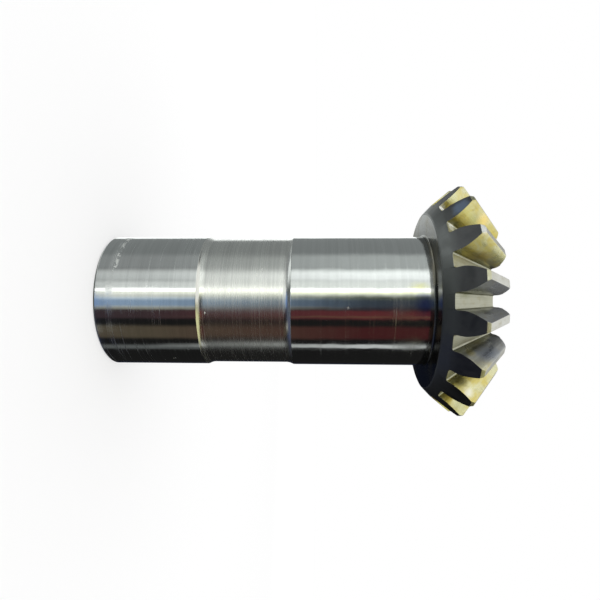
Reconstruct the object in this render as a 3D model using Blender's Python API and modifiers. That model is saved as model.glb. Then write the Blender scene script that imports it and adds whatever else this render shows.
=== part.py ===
"""Governor drive gear: a straight bevel gear cut on the head of a hollow ground shaft.

The gear stands on its shaft end. Z runs up its axis, and the origin is the centre of
the shaft's end face. Lengths are metres and angles are radians.
"""

from math import acos, atan, atan2, cos, pi, radians, sin, sqrt, tan

import bmesh
import bpy
from mathutils import Matrix, Vector

MM = 0.001

# Shaft: two ground journals with an oil relief turned between them.
JOURNAL_DIAMETER = 52.4 * MM
SHAFT_LENGTH = 126.0 * MM
SHAFT_END_CHAMFER = 0.7 * MM
RELIEF_DEPTH = 0.85 * MM
RELIEF_START = 38.5 * MM
RELIEF_LENGTH = 35.0 * MM
RELIEF_CORNER_RADIUS = 3.6 * MM

# Thrust face behind the gear.
THRUST_FACE_DIAMETER = 70.8 * MM
THRUST_EDGE_CHAMFER = 0.4 * MM
JOURNAL_FILLET_RADIUS = 0.9 * MM

# Gear pair: this gear and the one that it drives.
TOOTH_COUNT = 17
MATE_TOOTH_COUNT = 18
MODULE = 5.08 * MM
PRESSURE_ANGLE = radians(20.0)
ADDENDUM = 3.9 * MM
DEDENDUM = 5.9 * MM
TOOTH_THINNING = 0.4 * MM
SLOT_FILLET_RADIUS = 0.9 * MM

# Gear blank: cone angles are measured from the axis.
WEB_CONE_ANGLE = radians(46.5)
WEB_WIDTH = 3.7 * MM
BACK_CONE_ANGLE = radians(40.0)
CROWN_LAND_WIDTH = 1.4 * MM
FACE_CONE_ANGLE = radians(51.0)
FACE_WIDTH = 17.3 * MM
TOE_CONE_ANGLE = radians(58.0)
ROOT_CONE_ANGLE = radians(37.0)
FRONT_FACE_DIAMETER = 48.0 * MM
TOE_RING_WIDTH = 3.1 * MM
TOE_ROUND_SWEEP = radians(62.0)

# Bore: serrations for the governor's shaft, then a plain bore to the front.
SERRATION_COUNT = 36
SERRATION_MINOR_DIAMETER = 26.6 * MM
SERRATION_DEPTH = 1.0 * MM
SERRATION_LENGTH = 32.0 * MM
SERRATION_TIP_SHARE = 0.25
SERRATION_CLEARANCE = 0.7 * MM
BORE_CHAMFER = 1.6 * MM

# Fineness of the solid.
FACETS_PER_TOOTH = 6
FILLET_STEPS = 3
TOE_ROUND_STEPS = 4
FLANK_STEPS = 5
CUTTER_RUN_OUT = 3.0 * MM
CUTTER_TIP_CLEARANCE = 1.2 * MM
MERGE_DISTANCE = 0.01 * MM
SHARP_EDGE_ANGLE = radians(25)

STEEL_COLOUR = (0.42, 0.43, 0.42, 1.0)
STEEL_ROUGHNESS = 0.28

# Sizes that follow from the ones above.
JOURNAL_RADIUS = JOURNAL_DIAMETER / 2
THRUST_RADIUS = THRUST_FACE_DIAMETER / 2
FRONT_FACE_RADIUS = FRONT_FACE_DIAMETER / 2
SERRATION_MINOR_RADIUS = SERRATION_MINOR_DIAMETER / 2
SERRATION_MAJOR_RADIUS = SERRATION_MINOR_RADIUS + SERRATION_DEPTH
BORE_RADIUS = SERRATION_MAJOR_RADIUS + SERRATION_CLEARANCE
PITCH_RADIUS = MODULE * TOOTH_COUNT / 2
PITCH_ANGLE = atan(TOOTH_COUNT / MATE_TOOTH_COUNT)
TOOTH_PITCH_ANGLE = 2 * pi / TOOTH_COUNT


def along_cone(point, angle, radius):
    """The point on a cone that opens upwards, from one of its points to another radius."""
    return Vector((radius, point.y + (radius - point.x) / tan(angle)))


def blank_corners():
    """Corners of the gear blank as (radius, height), from the thrust face to the front face."""
    thrust = Vector((THRUST_RADIUS, SHAFT_LENGTH))
    web_edge = along_cone(thrust, WEB_CONE_ANGLE, THRUST_RADIUS + WEB_WIDTH)
    heel_root = along_cone(web_edge, BACK_CONE_ANGLE, PITCH_RADIUS - DEDENDUM * cos(PITCH_ANGLE))
    heel_pitch = along_cone(web_edge, BACK_CONE_ANGLE, PITCH_RADIUS)
    heel_crown = along_cone(web_edge, BACK_CONE_ANGLE, PITCH_RADIUS + ADDENDUM * cos(PITCH_ANGLE))
    land_end = heel_crown + Vector((0, CROWN_LAND_WIDTH))
    toe_tip = land_end + FACE_WIDTH * Vector((-sin(FACE_CONE_ANGLE), cos(FACE_CONE_ANGLE)))
    toe_ring = along_cone(toe_tip, TOE_CONE_ANGLE, FRONT_FACE_RADIUS + TOE_RING_WIDTH)
    return {
        "thrust": thrust,
        "web_edge": web_edge,
        "heel_root": heel_root,
        "heel_pitch": heel_pitch,
        "heel_crown": heel_crown,
        "land_end": land_end,
        "toe_tip": toe_tip,
        "toe_ring": toe_ring,
        "front": along_cone(toe_tip, TOE_CONE_ANGLE, FRONT_FACE_RADIUS),
    }


def arc(centre, radius, start, end, steps=FILLET_STEPS):
    """Points along a round stretch of a profile, both ends included."""
    points = []
    for step in range(steps + 1):
        angle = start + (end - start) * step / steps
        points.append(centre + radius * Vector((cos(angle), sin(angle))))
    return points


def relief_profile():
    """The oil relief from its upper end down, with a round corner at each end."""
    reach = sqrt(2 * RELIEF_CORNER_RADIUS * RELIEF_DEPTH - RELIEF_DEPTH ** 2)
    sweep = acos(1 - RELIEF_DEPTH / RELIEF_CORNER_RADIUS)
    centre_radius = JOURNAL_RADIUS - RELIEF_DEPTH + RELIEF_CORNER_RADIUS
    upper_centre = Vector((centre_radius, RELIEF_START + RELIEF_LENGTH - reach))
    lower_centre = Vector((centre_radius, RELIEF_START + reach))
    upper = arc(upper_centre, RELIEF_CORNER_RADIUS, pi - sweep, pi)
    lower = arc(lower_centre, RELIEF_CORNER_RADIUS, pi, pi + sweep)
    return upper + lower


def toe_profile(corners):
    """The teeth's toe ends, rounded between their tips and the ring round the front face."""
    ring = corners["toe_ring"]
    chord = corners["toe_tip"] - ring
    radius = chord.length / 2 / sin(TOE_ROUND_SWEEP / 2)
    outward = Vector((-chord.y, chord.x)).normalized()
    centre = ring + chord / 2 - radius * cos(TOE_ROUND_SWEEP / 2) * outward
    middle = atan2(outward.y, outward.x)
    start = middle + TOE_ROUND_SWEEP / 2
    end = middle - TOE_ROUND_SWEEP / 2
    return arc(centre, radius, start, end, TOE_ROUND_STEPS)


def blank_profile(corners):
    """Closed section of the blank, down its outside and up its bore."""
    thrust = corners["thrust"]
    front = corners["front"]
    fillet_centre = Vector((JOURNAL_RADIUS + JOURNAL_FILLET_RADIUS, SHAFT_LENGTH - JOURNAL_FILLET_RADIUS))
    bore_start = SERRATION_LENGTH + BORE_RADIUS - SERRATION_MINOR_RADIUS
    points = [corners["land_end"], corners["heel_crown"], corners["web_edge"]]
    points.append(along_cone(thrust, WEB_CONE_ANGLE, THRUST_RADIUS + THRUST_EDGE_CHAMFER))
    points.append(thrust - Vector((THRUST_EDGE_CHAMFER, 0)))
    points += arc(fillet_centre, JOURNAL_FILLET_RADIUS, pi / 2, pi)
    points += relief_profile()
    points.append(Vector((JOURNAL_RADIUS, SHAFT_END_CHAMFER)))
    points.append(Vector((JOURNAL_RADIUS - SHAFT_END_CHAMFER, 0)))
    points.append(Vector((SERRATION_MINOR_RADIUS + BORE_CHAMFER, 0)))
    points.append(Vector((SERRATION_MINOR_RADIUS, BORE_CHAMFER)))
    points.append(Vector((SERRATION_MINOR_RADIUS, SERRATION_LENGTH)))
    points.append(Vector((BORE_RADIUS, bore_start)))
    points.append(Vector((BORE_RADIUS, front.y - BORE_CHAMFER)))
    points.append(Vector((BORE_RADIUS + BORE_CHAMFER, front.y)))
    points.append(front)
    points += toe_profile(corners)
    return points


def make_object(name, mesh, collection):
    """Put a mesh into the scene under its own name."""
    thing = bpy.data.objects.new(name, mesh)
    collection.objects.link(thing)
    return thing


def make_collection(name):
    """A new collection in the scene."""
    collection = bpy.data.collections.new(name)
    bpy.context.scene.collection.children.link(collection)
    return collection


def make_blank(corners, collection):
    """The turned blank: its section swept round the axis."""
    outline = bmesh.new()
    ring = [outline.verts.new((point.x, 0, point.y)) for point in blank_profile(corners)]
    for index, vertex in enumerate(ring):
        outline.edges.new((ring[index - 1], vertex))
    mesh = bpy.data.meshes.new("gear_blank")
    outline.to_mesh(mesh)
    outline.free()
    blank = make_object("governor_drive_gear", mesh, collection)
    turning = blank.modifiers.new("Turned blank", "SCREW")
    turning.axis = "Z"
    turning.angle = 2 * pi
    turning.steps = TOOTH_COUNT * FACETS_PER_TOOTH
    turning.render_steps = TOOTH_COUNT * FACETS_PER_TOOTH
    turning.use_merge_vertices = True
    turning.merge_threshold = MERGE_DISTANCE
    return blank


def involute(angle):
    """Involute function of a pressure angle."""
    return tan(angle) - angle


class ToothSpace:
    """The space between two teeth, laid out on the gear's back cone unrolled flat.

    A share is a distance from the pitch cone's apex over the same distance at the heel.
    """

    def __init__(self, corners):
        self.heel_root = corners["heel_root"]
        self.apex = corners["heel_pitch"] + Vector((-PITCH_RADIUS, PITCH_RADIUS / tan(PITCH_ANGLE)))
        self.cone_distance = PITCH_RADIUS / sin(PITCH_ANGLE)
        self.flat_radius = PITCH_RADIUS / cos(PITCH_ANGLE)
        half_space = pi * MODULE / 4 + TOOTH_THINNING / 2
        self.half_angle = half_space / self.flat_radius - involute(PRESSURE_ANGLE)

    def share(self, corner):
        """Share at which a corner of the blank lies."""
        offset = corner - self.apex
        return (offset.x * sin(PITCH_ANGLE) - offset.y * cos(PITCH_ANGLE)) / self.cone_distance

    def full_height(self, corner):
        """A corner's height over the pitch cone, scaled up to the heel."""
        offset = corner - self.apex
        return (offset.x * cos(PITCH_ANGLE) + offset.y * sin(PITCH_ANGLE)) / self.share(corner)

    def half_width(self, distance, share):
        """Half the space's width at a distance from the unrolled cone's centre."""
        base = self.flat_radius * cos(PRESSURE_ANGLE) * share
        flank = involute(acos(base / distance)) if distance > base else 0.0
        return distance * (self.half_angle + flank)

    def root_distance(self, share):
        """Distance at which the root cone crosses the unrolled back cone."""
        slope = tan(ROOT_CONE_ANGLE)
        pitch_point = self.apex + share * Vector((PITCH_RADIUS, -PITCH_RADIUS / tan(PITCH_ANGLE)))
        offset = pitch_point - self.heel_root
        depth = (offset.x + offset.y * slope) / (cos(PITCH_ANGLE) + sin(PITCH_ANGLE) * slope)
        return share * self.flat_radius - depth

    def place(self, across, distance, share):
        """Wrap a point of the unrolled section back round the axis, with the space at -Y."""
        turn = across / distance / cos(PITCH_ANGLE) - pi / 2
        radius = distance * cos(PITCH_ANGLE)
        height = self.apex.y - share * self.flat_radius / sin(PITCH_ANGLE) + distance * sin(PITCH_ANGLE)
        return Vector((radius * cos(turn), radius * sin(turn), height))

    def outline(self, share, tip_height):
        """The space's outline at a share, from the top of one flank round to the other's."""
        fillet = SLOT_FILLET_RADIUS * share
        flank_start = self.root_distance(share) + fillet
        flank_end = share * (self.flat_radius + tip_height)
        fillet_centre = Vector((self.half_width(flank_start, share) - fillet, flank_start))
        side = []
        for step in range(FLANK_STEPS, 0, -1):
            distance = flank_start + (flank_end - flank_start) * step / FLANK_STEPS
            side.append(Vector((self.half_width(distance, share), distance)))
        side += arc(fillet_centre, fillet, 0, -pi / 2)
        other_side = [Vector((-point.x, point.y)) for point in reversed(side)]
        return [self.place(point.x, point.y, share) for point in side + other_side]


def loft(shape, first, last):
    """A closed solid between two outlines that have the same number of points."""
    near = [shape.verts.new(point) for point in first]
    far = [shape.verts.new(point) for point in last]
    shape.faces.new(near)
    shape.faces.new(list(reversed(far)))
    for index, corner in enumerate(near):
        shape.faces.new((corner, near[index - 1], far[index - 1], far[index]))


def make_cutter(name, shape, collection):
    """A cutter, shown as a wire and kept out of renders."""
    bmesh.ops.recalc_face_normals(shape, faces=shape.faces)
    mesh = bpy.data.meshes.new(name)
    shape.to_mesh(mesh)
    shape.free()
    cutter = make_object(name, mesh, collection)
    cutter.hide_render = True
    cutter.display_type = "WIRE"
    return cutter


def make_slot_cutter(corners, collection):
    """Cutter for all the tooth spaces, each tapering towards the pitch cone's apex."""
    space = ToothSpace(corners)
    run_out = CUTTER_RUN_OUT / space.cone_distance
    tip_height = max(space.full_height(corners[name]) for name in ("land_end", "toe_tip"))
    tip_height += CUTTER_TIP_CLEARANCE
    heel = space.outline(space.share(corners["thrust"]) + run_out, tip_height)
    toe = space.outline(space.share(corners["front"]) - run_out, tip_height)
    shape = bmesh.new()
    for index in range(TOOTH_COUNT):
        turn = Matrix.Rotation(index * TOOTH_PITCH_ANGLE, 3, "Z")
        loft(shape, [turn @ point for point in heel], [turn @ point for point in toe])
    return make_cutter("tooth_space_cutter", shape, collection)


def make_serration_cutter(collection):
    """Star-shaped broach that leaves the serrations in the shaft end's bore."""
    inner_radius = SERRATION_MINOR_RADIUS - SERRATION_DEPTH * SERRATION_TIP_SHARE
    length = SERRATION_LENGTH + 2 * CUTTER_RUN_OUT
    shape = bmesh.new()
    star = bmesh.ops.create_circle(shape, cap_ends=True, radius=1, segments=2 * SERRATION_COUNT)
    for index, vertex in enumerate(star["verts"]):
        vertex.co *= SERRATION_MAJOR_RADIUS if index % 2 else inner_radius
        vertex.co.z = -CUTTER_RUN_OUT
    top = bmesh.ops.extrude_face_region(shape, geom=shape.faces[:])
    corners = [part for part in top["geom"] if isinstance(part, bmesh.types.BMVert)]
    bmesh.ops.translate(shape, verts=corners, vec=(0, 0, length))
    return make_cutter("serration_cutter", shape, collection)


def cut(body, cutter):
    """Take a cutter's shape out of a body."""
    cutting = body.modifiers.new("Cut by " + cutter.name, "BOOLEAN")
    cutting.operation = "DIFFERENCE"
    cutting.solver = "EXACT"
    cutting.object = cutter


def finish_mesh(body):
    """Apply the body's modifiers, and shade its round faces smooth between crisp edges."""
    result = body.evaluated_get(bpy.context.evaluated_depsgraph_get())
    mesh = bpy.data.meshes.new_from_object(result)
    body.modifiers.clear()
    body.data = mesh
    mesh.name = body.name
    mesh.shade_smooth()
    mesh.set_sharp_from_angle(angle=SHARP_EDGE_ANGLE)


def make_steel():
    """Ground and oiled steel."""
    steel = bpy.data.materials.new("ground_steel")
    steel.use_nodes = True
    surface = steel.node_tree.nodes["Principled BSDF"]
    surface.inputs["Base Color"].default_value = STEEL_COLOUR
    surface.inputs["Metallic"].default_value = 1.0
    surface.inputs["Roughness"].default_value = STEEL_ROUGHNESS
    return steel


def clear_scene():
    """Remove what the scene holds at the start."""
    for thing in list(bpy.data.objects):
        bpy.data.objects.remove(thing, do_unlink=True)


def main():
    """Build the gear."""
    clear_scene()
    parts = make_collection("governor_drive_gear")
    cutters = make_collection("cutters")
    corners = blank_corners()
    gear = make_blank(corners, parts)
    cut(gear, make_slot_cutter(corners, cutters))
    cut(gear, make_serration_cutter(cutters))
    finish_mesh(gear)
    gear.data.materials.append(make_steel())


main()
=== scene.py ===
from math import acos, atan, atan2, cos, pi, radians, sin, sqrt, tan

import bmesh
import bpy
from mathutils import Matrix, Vector


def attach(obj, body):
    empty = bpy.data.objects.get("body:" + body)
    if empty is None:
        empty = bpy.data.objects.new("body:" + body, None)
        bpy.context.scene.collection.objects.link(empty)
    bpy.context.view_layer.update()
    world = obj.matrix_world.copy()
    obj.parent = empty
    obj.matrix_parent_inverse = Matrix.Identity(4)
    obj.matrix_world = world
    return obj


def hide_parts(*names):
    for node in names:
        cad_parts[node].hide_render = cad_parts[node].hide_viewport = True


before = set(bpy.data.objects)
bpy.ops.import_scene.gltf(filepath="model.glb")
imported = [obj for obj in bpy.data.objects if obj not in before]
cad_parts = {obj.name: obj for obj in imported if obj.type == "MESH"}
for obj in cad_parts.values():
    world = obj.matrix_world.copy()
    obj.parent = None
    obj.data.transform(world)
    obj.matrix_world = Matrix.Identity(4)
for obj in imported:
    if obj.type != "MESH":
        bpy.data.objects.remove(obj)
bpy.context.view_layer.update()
gearNode = "governor_drive_gear"
mm = 0.001
print("frame loaded")

# The finishes, in the order of the gear's material slots.
finishes = ["lowerJournal", "relief", "reliefEnd", "upperJournal", "black", "shoulder", "crown", "land",
            "toe", "front", "bore", "shaftEnd", "flank", "slot"]

shaft = {
    "radius": 26.2 * mm,
    "length": 126.0 * mm,
    "endChamfer": 0.7 * mm,
    "reliefDepth": 0.85 * mm,
    "reliefStart": 38.5 * mm,
    "reliefLength": 35.0 * mm,
    "reliefCorner": 6.0 * mm,
    "filletRadius": 0.9 * mm,
    "arcSteps": 8,
}

head = {
    "thrustRadius": 35.4 * mm,
    "edgeChamfer": 0.4 * mm,
    "webAngle": radians(46.5),
    "webWidth": 3.7 * mm,
    "backAngle": radians(40.0),
    "landWidth": 1.4 * mm,
    "faceAngle": radians(51.0),
    "faceWidth": 17.2 * mm,
    "toeAngle": radians(58.0),
    "toeRingRadius": 27.1 * mm,
    "toeSweep": radians(62.0),
    "toeSteps": 8,
    "frontRadius": 24.0 * mm,
    "facets": 20,  # round each tooth's share of the rim
    "edgeBreak": 0.16 * mm,
    "edgeBreakSteps": 2,
    "toeRounding": 0.55 * mm,
    "toeRoundingSteps": 4,
    "toeRoundingStart": 29.0 * mm,  # nearer the axis the toe edges are only broken
}

teeth = {
    "count": 17,
    "mateCount": 18,
    "module": 5.08 * mm,
    "pressureAngle": radians(20.0),
    "addendum": 3.8 * mm,
    "dedendum": 5.9 * mm,
    "thinning": 0.4 * mm,
    "rootAngle": radians(37.0),
    "rootFillet": 0.9 * mm,
    "flankSteps": 10,
    "filletSteps": 5,
    "runOut": 3.0 * mm,
    "tipClearance": 1.2 * mm,
    "rootStripTilt": 0.8,  # sideways lean past which a strip of the root fillet counts as flank
}

bore = {
    "radius": 15.0 * mm,
    "chamfer": 1.6 * mm,
    "serrations": 36,
    "serrationRadius": 13.3 * mm,
    "serrationDepth": 1.0 * mm,
    "serrationLength": 32.0 * mm,
    "tipShare": 0.25,
}

pitchRadius = teeth["module"] * teeth["count"] / 2
pitchAngle = atan(teeth["count"] / teeth["mateCount"])
toothTurn = 2 * pi / teeth["count"]


def onCone(point, angle, radius):  # another point of the cone that opens upwards through a point
    return Vector((radius, point.y + (radius - point.x) / tan(angle)))


def headCorners():  # (radius, height) of the gear blank's corners
    thrust = Vector((head["thrustRadius"], shaft["length"]))
    webEdge = onCone(thrust, head["webAngle"], thrust.x + head["webWidth"])
    crown = onCone(webEdge, head["backAngle"], pitchRadius + teeth["addendum"] * cos(pitchAngle))
    landEnd = crown + Vector((0, head["landWidth"]))
    faceLine = Vector((-sin(head["faceAngle"]), cos(head["faceAngle"])))
    toeTip = landEnd + head["faceWidth"] * faceLine
    return {
        "thrust": thrust,
        "webEdge": webEdge,
        "heelRoot": onCone(webEdge, head["backAngle"], pitchRadius - teeth["dedendum"] * cos(pitchAngle)),
        "heelPitch": onCone(webEdge, head["backAngle"], pitchRadius),
        "crown": crown,
        "landEnd": landEnd,
        "toeTip": toeTip,
        "toeRing": onCone(toeTip, head["toeAngle"], head["toeRingRadius"]),
        "front": onCone(toeTip, head["toeAngle"], head["frontRadius"]),
    }


def arcPoints(centre, radius, start, end, steps=shaft["arcSteps"]):
    angles = [start + (end - start) * step / steps for step in range(steps + 1)]
    return [centre + radius * Vector((cos(angle), sin(angle))) for angle in angles]


def reliefPoints():  # the oil relief from its upper end down
    depth, corner = shaft["reliefDepth"], shaft["reliefCorner"]
    reach = sqrt(2 * corner * depth - depth ** 2)
    sweep = acos(1 - depth / corner)
    centreRadius = shaft["radius"] - depth + corner
    upper = Vector((centreRadius, shaft["reliefStart"] + shaft["reliefLength"] - reach))
    lower = Vector((centreRadius, shaft["reliefStart"] + reach))
    return arcPoints(upper, corner, pi - sweep, pi) + arcPoints(lower, corner, pi, pi + sweep)


def toePoints(corners):  # the rounded toe ends of the teeth, from the toe ring out to their tips
    ring, half = corners["toeRing"], head["toeSweep"] / 2
    chord = corners["toeTip"] - ring
    radius = chord.length / 2 / sin(half)
    outward = Vector((-chord.y, chord.x)).normalized()
    centre = ring + chord / 2 - radius * cos(half) * outward
    middle = atan2(outward.y, outward.x)
    return arcPoints(centre, radius, middle + half, middle - half, head["toeSteps"])


def blankSection(corners):  # (finish of the stretch that follows, point), down the outside and up the bore
    thrust, front = corners["thrust"], corners["front"]
    fillet = shaft["filletRadius"]
    filletCentre = Vector((shaft["radius"] + fillet, shaft["length"] - fillet))
    serrationTop = bore["serrationLength"] + bore["radius"] - bore["serrationRadius"]
    relief = reliefPoints()
    section = [
        ("land", corners["toeTip"]),
        ("crown", corners["landEnd"]),
        ("black", corners["crown"]),
        ("black", corners["webEdge"]),
        ("black", onCone(thrust, head["webAngle"], thrust.x + head["edgeChamfer"])),
        ("shoulder", thrust - Vector((head["edgeChamfer"], 0))),
    ]
    section += [("shoulder", point) for point in arcPoints(filletCentre, fillet, pi / 2, pi)[:-1]]
    section.append(("upperJournal", Vector((shaft["radius"], shaft["length"] - fillet))))
    section += [("reliefEnd", point) for point in relief[:shaft["arcSteps"]]]
    section.append(("relief", relief[shaft["arcSteps"]]))
    section += [("reliefEnd", point) for point in relief[shaft["arcSteps"] + 1:-1]]
    section += [
        ("lowerJournal", relief[-1]),
        ("shaftEnd", Vector((shaft["radius"], shaft["endChamfer"]))),
        ("shaftEnd", Vector((shaft["radius"] - shaft["endChamfer"], 0))),
        ("shaftEnd", Vector((bore["serrationRadius"] + bore["chamfer"], 0))),
        ("bore", Vector((bore["serrationRadius"], bore["chamfer"]))),
        ("bore", Vector((bore["serrationRadius"], bore["serrationLength"]))),
        ("bore", Vector((bore["radius"], serrationTop))),
        ("front", Vector((bore["radius"], front.y - bore["chamfer"]))),
        ("front", Vector((bore["radius"] + bore["chamfer"], front.y))),
        ("toe", front),
    ]
    section += [("toe", point) for point in toePoints(corners)[:-1]]
    return section


def newObject(name, shape):
    mesh = bpy.data.meshes.new(name)
    shape.to_mesh(mesh)
    shape.free()
    thing = bpy.data.objects.new(name, mesh)
    bpy.context.scene.collection.objects.link(thing)
    return thing


def faceProfilePoint(face):  # (radius, height) of the middle of a face
    centre = face.calc_center_median()
    return Vector((centre.xy.length, centre.z))


def turnBlank(corners):  # the section spun round the axis, each stretch in its finish
    section = blankSection(corners)
    shape = bmesh.new()
    ring = [shape.verts.new((point.x, 0, point.y)) for _, point in section]
    for index, vertex in enumerate(ring):
        shape.edges.new((ring[index - 1], vertex))
    wire = shape.verts[:] + shape.edges[:]
    steps = teeth["count"] * head["facets"]
    bmesh.ops.spin(shape, geom=wire, axis=(0, 0, 1), angle=2 * pi, steps=steps, use_merge=True)
    bmesh.ops.recalc_face_normals(shape, faces=shape.faces)
    middles = []
    for index, (finish, point) in enumerate(section):
        following = section[(index + 1) % len(section)][1]
        middles.append((finishes.index(finish), (point + following) / 2))
    for face in shape.faces:
        here = faceProfilePoint(face)
        face.material_index = min(middles, key=lambda middle: (middle[1] - here).length)[0]
    return newObject("gear_blank", shape)


def involute(angle):
    return tan(angle) - angle


class ToothSpace:  # the gap between two teeth, laid out on the back cone unrolled flat
    def __init__(self, corners):
        self.heelRoot = corners["heelRoot"]
        self.apex = corners["heelPitch"] + Vector((-pitchRadius, pitchRadius / tan(pitchAngle)))
        self.coneDistance = pitchRadius / sin(pitchAngle)
        self.flatRadius = pitchRadius / cos(pitchAngle)
        halfSpace = pi * teeth["module"] / 4 + teeth["thinning"] / 2
        self.halfAngle = halfSpace / self.flatRadius - involute(teeth["pressureAngle"])

    def share(self, corner):  # distance from the apex over the heel's
        offset = corner - self.apex
        return (offset.x * sin(pitchAngle) - offset.y * cos(pitchAngle)) / self.coneDistance

    def fullHeight(self, corner):  # height over the pitch cone, scaled up to the heel
        offset = corner - self.apex
        return (offset.x * cos(pitchAngle) + offset.y * sin(pitchAngle)) / self.share(corner)

    def halfWidth(self, distance, share):
        base = self.flatRadius * cos(teeth["pressureAngle"]) * share
        flank = involute(acos(base / distance)) if distance > base else 0.0
        return distance * (self.halfAngle + flank)

    def rootDistance(self, share):
        slope = tan(teeth["rootAngle"])
        pitchPoint = self.apex + share * Vector((pitchRadius, -pitchRadius / tan(pitchAngle)))
        offset = pitchPoint - self.heelRoot
        depth = (offset.x + offset.y * slope) / (cos(pitchAngle) + sin(pitchAngle) * slope)
        return share * self.flatRadius - depth

    def place(self, across, distance, share):  # wrapped back round the axis, centred on -Y
        turn = across / distance / cos(pitchAngle) - pi / 2
        radius = distance * cos(pitchAngle)
        height = self.apex.y - share * self.flatRadius / sin(pitchAngle) + distance * sin(pitchAngle)
        return Vector((radius * cos(turn), radius * sin(turn), height))

    def outline(self, share, tipHeight):  # down one flank, over the root and up the other
        fillet = teeth["rootFillet"] * share
        flankStart = self.rootDistance(share) + fillet
        flankEnd = share * (self.flatRadius + tipHeight)
        filletCentre = Vector((self.halfWidth(flankStart, share) - fillet, flankStart))
        side = []
        for step in range(teeth["flankSteps"], 0, -1):
            distance = flankStart + (flankEnd - flankStart) * step / teeth["flankSteps"]
            side.append(Vector((self.halfWidth(distance, share), distance)))
        for step in range(teeth["filletSteps"] + 1):
            angle = -pi / 2 * step / teeth["filletSteps"]
            side.append(filletCentre + fillet * Vector((cos(angle), sin(angle))))
        otherSide = [Vector((-point.x, point.y)) for point in reversed(side)]
        return [self.place(point.x, point.y, share) for point in side + otherSide]


def makeSpaceCutter(corners):  # every tooth space, tapering to the pitch cone's apex
    space = ToothSpace(corners)
    runOut = teeth["runOut"] / space.coneDistance
    tipHeight = max(space.fullHeight(corners["landEnd"]), space.fullHeight(corners["toeTip"]))
    tipHeight += teeth["tipClearance"]
    shares = (space.share(corners["thrust"]) + runOut, space.share(corners["front"]) - runOut)
    shape = bmesh.new()
    ends = []
    for share in shares:
        ring = [shape.verts.new(point) for point in space.outline(share, tipHeight)]
        ends.append(shape.faces.new(ring))
    loops = [edge for face in ends for edge in face.edges]
    bmesh.ops.bridge_loops(shape, edges=loops)
    bmesh.ops.recalc_face_normals(shape, faces=shape.faces)
    shape.normal_update()
    for face in shape.faces:  # only the strips of the root face straight out from the axis
        middle = face.calc_center_median()
        outward = Vector((middle.x, middle.y, 0)).normalized()
        rootward = abs(face.normal.x) < teeth["rootStripTilt"] and face.normal.dot(outward) < 0
        face.material_index = finishes.index("slot" if rootward else "flank")
    one = shape.verts[:] + shape.edges[:] + shape.faces[:]
    steps = teeth["count"] - 1
    bmesh.ops.spin(shape, geom=one, axis=(0, 0, 1), angle=steps * toothTurn, steps=steps, use_duplicate=True)
    return newObject("tooth_space_cutter", shape)


def makeSerrationCutter():  # star-shaped broach for the shaft end's bore
    major = bore["serrationRadius"] + bore["serrationDepth"]
    minor = bore["serrationRadius"] - bore["serrationDepth"] * bore["tipShare"]
    shape = bmesh.new()
    star = bmesh.ops.create_circle(shape, cap_ends=True, radius=1, segments=2 * bore["serrations"])
    for index, vertex in enumerate(star["verts"]):
        vertex.co *= major if index % 2 else minor
        vertex.co.z = -teeth["runOut"]
    top = bmesh.ops.extrude_face_region(shape, geom=shape.faces[:])
    raised = [part for part in top["geom"] if isinstance(part, bmesh.types.BMVert)]
    bmesh.ops.translate(shape, verts=raised, vec=(0, 0, bore["serrationLength"] + 2 * teeth["runOut"]))
    bmesh.ops.recalc_face_normals(shape, faces=shape.faces)
    for face in shape.faces:
        face.material_index = finishes.index("bore")
    return newObject("serration_cutter", shape)


def cutOut(body, cutters):  # take the cutters out of the body and delete them
    for cutter in cutters:
        cut = body.modifiers.new(cutter.name, "BOOLEAN")
        cut.operation = "DIFFERENCE"
        cut.solver = "EXACT"
        cut.object = cutter
    result = body.evaluated_get(bpy.context.evaluated_depsgraph_get())
    mesh = bpy.data.meshes.new_from_object(result)
    body.modifiers.clear()
    body.data = mesh
    for cutter in cutters:
        bpy.data.objects.remove(cutter)


tidying = {
    "mergeDistance": 0.05 * mm,
    "flatAngle": radians(4.0),
    "sharpAngle": radians(28.0),
    "smoothAngle": radians(35.0),
    "frontMargin": 1.0 * mm,
    "toothFinishes": ("black", "crown", "land", "toe"),
}


def breakAlong(shape, edges, width, steps):
    bmesh.ops.bevel(shape, geom=edges, offset=width, segments=steps, profile=0.5, affect="EDGES",
                    clamp_overlap=False, loop_slide=True, material=-1)


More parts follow.
